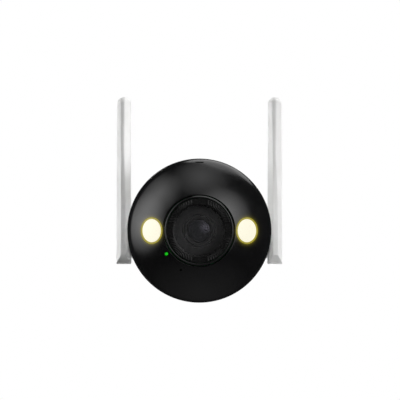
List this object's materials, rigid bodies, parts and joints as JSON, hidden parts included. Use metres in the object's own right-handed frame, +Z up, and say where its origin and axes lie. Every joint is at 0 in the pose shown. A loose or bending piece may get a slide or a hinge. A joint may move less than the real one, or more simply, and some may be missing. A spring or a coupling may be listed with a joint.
{
  "type": "security camera",
  "caption": "Round-faced bullet security camera with oval spotlights, a stepped lens collar, folding blade antennas and a pan, tilt and roll wall bracket.",
  "frame": {"origin": "centre of the wall base's flat back face, on the camera's own axis", "axes": "+Y into the wall, so the camera looks along -Y; +X to the right as seen from in front; +Z up"},
  "size_m": [0.0904, 0.1774, 0.1098],
  "materials": {
    "white_painted_metal": "white powder coat on die-cast aluminium",
    "white_plastic": "satin moulded ABS",
    "gloss_black_plastic": "polished black polycarbonate",
    "matt_black_plastic": "matt moulded nylon",
    "black_rubber": "smooth moulded silicone rubber",
    "zinc_plated_steel": "zinc plated",
    "green_circuit_board": "solder mask on glass-fibre laminate",
    "black_component": "moulded component body",
    "bare_aluminium": "stamped or turned, uncoated",
    "clear_glass": "coated optical glass",
    "warm_diffuser": "milky light-spreading polycarbonate, lit",
    "green_light_pipe": "clear light pipe, lit green"
  },
  "bodies": {
    "base": {"wall_base": "white_painted_metal", "retaining_collar": "white_painted_metal", "collar_screw_1": "zinc_plated_steel", "collar_screw_2": "zinc_plated_steel", "collar_screw_3": "zinc_plated_steel", "pan_lock_screw": "zinc_plated_steel"},
    "arm": {"pan_arm": "white_painted_metal", "tilt_bolt": "zinc_plated_steel", "tilt_nut": "zinc_plated_steel"},
    "knuckle": {"tilt_knuckle": "white_painted_metal", "roll_lock_screw": "zinc_plated_steel"},
    "camera": {"rear_cover": "white_plastic", "rear_seal": "black_rubber", "rear_screw_1": "zinc_plated_steel", "rear_screw_2": "zinc_plated_steel", "rear_screw_3": "zinc_plated_steel", "cable_gland": "black_rubber", "swivel_stud": "zinc_plated_steel", "stud_nut": "zinc_plated_steel", "main_housing": "white_plastic", "front_seal": "black_rubber", "hatch_cover": "white_plastic", "hatch_seal": "black_rubber", "hatch_screw_1": "zinc_plated_steel", "hatch_screw_2": "zinc_plated_steel", "chassis_plate": "bare_aluminium", "main_board": "green_circuit_board", "wifi_module": "bare_aluminium", "card_socket": "bare_aluminium", "speaker": "black_component", "front_cover": "gloss_black_plastic", "front_board": "green_circuit_board", "spotlight_window_left": "warm_diffuser", "spotlight_window_right": "warm_diffuser", "spotlight_reflector_left": "bare_aluminium", "spotlight_reflector_right": "bare_aluminium", "status_light_pipe": "green_light_pipe", "microphone_boot": "black_rubber", "lens_bezel": "gloss_black_plastic", "stepped_baffle": "matt_black_plastic", "lens_window": "clear_glass", "window_gasket": "black_rubber", "lens_barrel": "matt_black_plastic", "lens_front_element": "clear_glass", "lens_lock_ring": "bare_aluminium", "lens_holder": "matt_black_plastic", "ir_cut_coil": "black_component", "image_sensor": "black_component", "sensor_board": "green_circuit_board", "antenna_seal_left": "black_rubber", "antenna_seal_right": "black_rubber"},
    "antenna_left": {"antenna_blade_left": "white_plastic", "antenna_element_left": "green_circuit_board", "antenna_hub_left": "white_plastic"},
    "antenna_right": {"antenna_blade_right": "white_plastic", "antenna_element_right": "green_circuit_board", "antenna_hub_right": "white_plastic"},
    "reset_button": {"reset_button": "matt_black_plastic"},
    "ir_cut_filter": {"ir_cut_filter": "clear_glass"}
  },
  "joints": [
    {"name": "pan", "type": "hinge", "parent": "base", "child": "arm", "pos_m": [0, 0, 0], "axis": [0, 1, 0], "range_deg": [-180, 180]},
    {"name": "tilt", "type": "hinge", "parent": "arm", "child": "knuckle", "pos_m": [0, -0.046, 0], "axis": [1, 0, 0], "range_deg": [0, 90]},
    {"name": "roll", "type": "hinge", "parent": "knuckle", "child": "camera", "pos_m": [0, -0.0654, 0], "axis": [0, 1, 0], "range_deg": [-180, 180]},
    {"name": "antenna_fold_left", "type": "hinge", "parent": "camera", "child": "antenna_left", "pos_m": [-0.0414, -0.105, -0.0076], "axis": [1, 0, 0], "range_deg": [0, 180]},
    {"name": "antenna_fold_right", "type": "hinge", "parent": "camera", "child": "antenna_right", "pos_m": [0.0414, -0.105, -0.0076], "axis": [1, 0, 0], "range_deg": [0, 180]},
    {"name": "reset_press", "type": "slide", "parent": "camera", "child": "reset_button", "axis": [0, 0, 1], "range_m": [0, 0.0006], "stiffness_N_per_m": 1500},
    {"name": "filter_shift", "type": "slide", "parent": "camera", "child": "ir_cut_filter", "axis": [1, 0, 0], "range_m": [0, 0.007]}
  ]
}
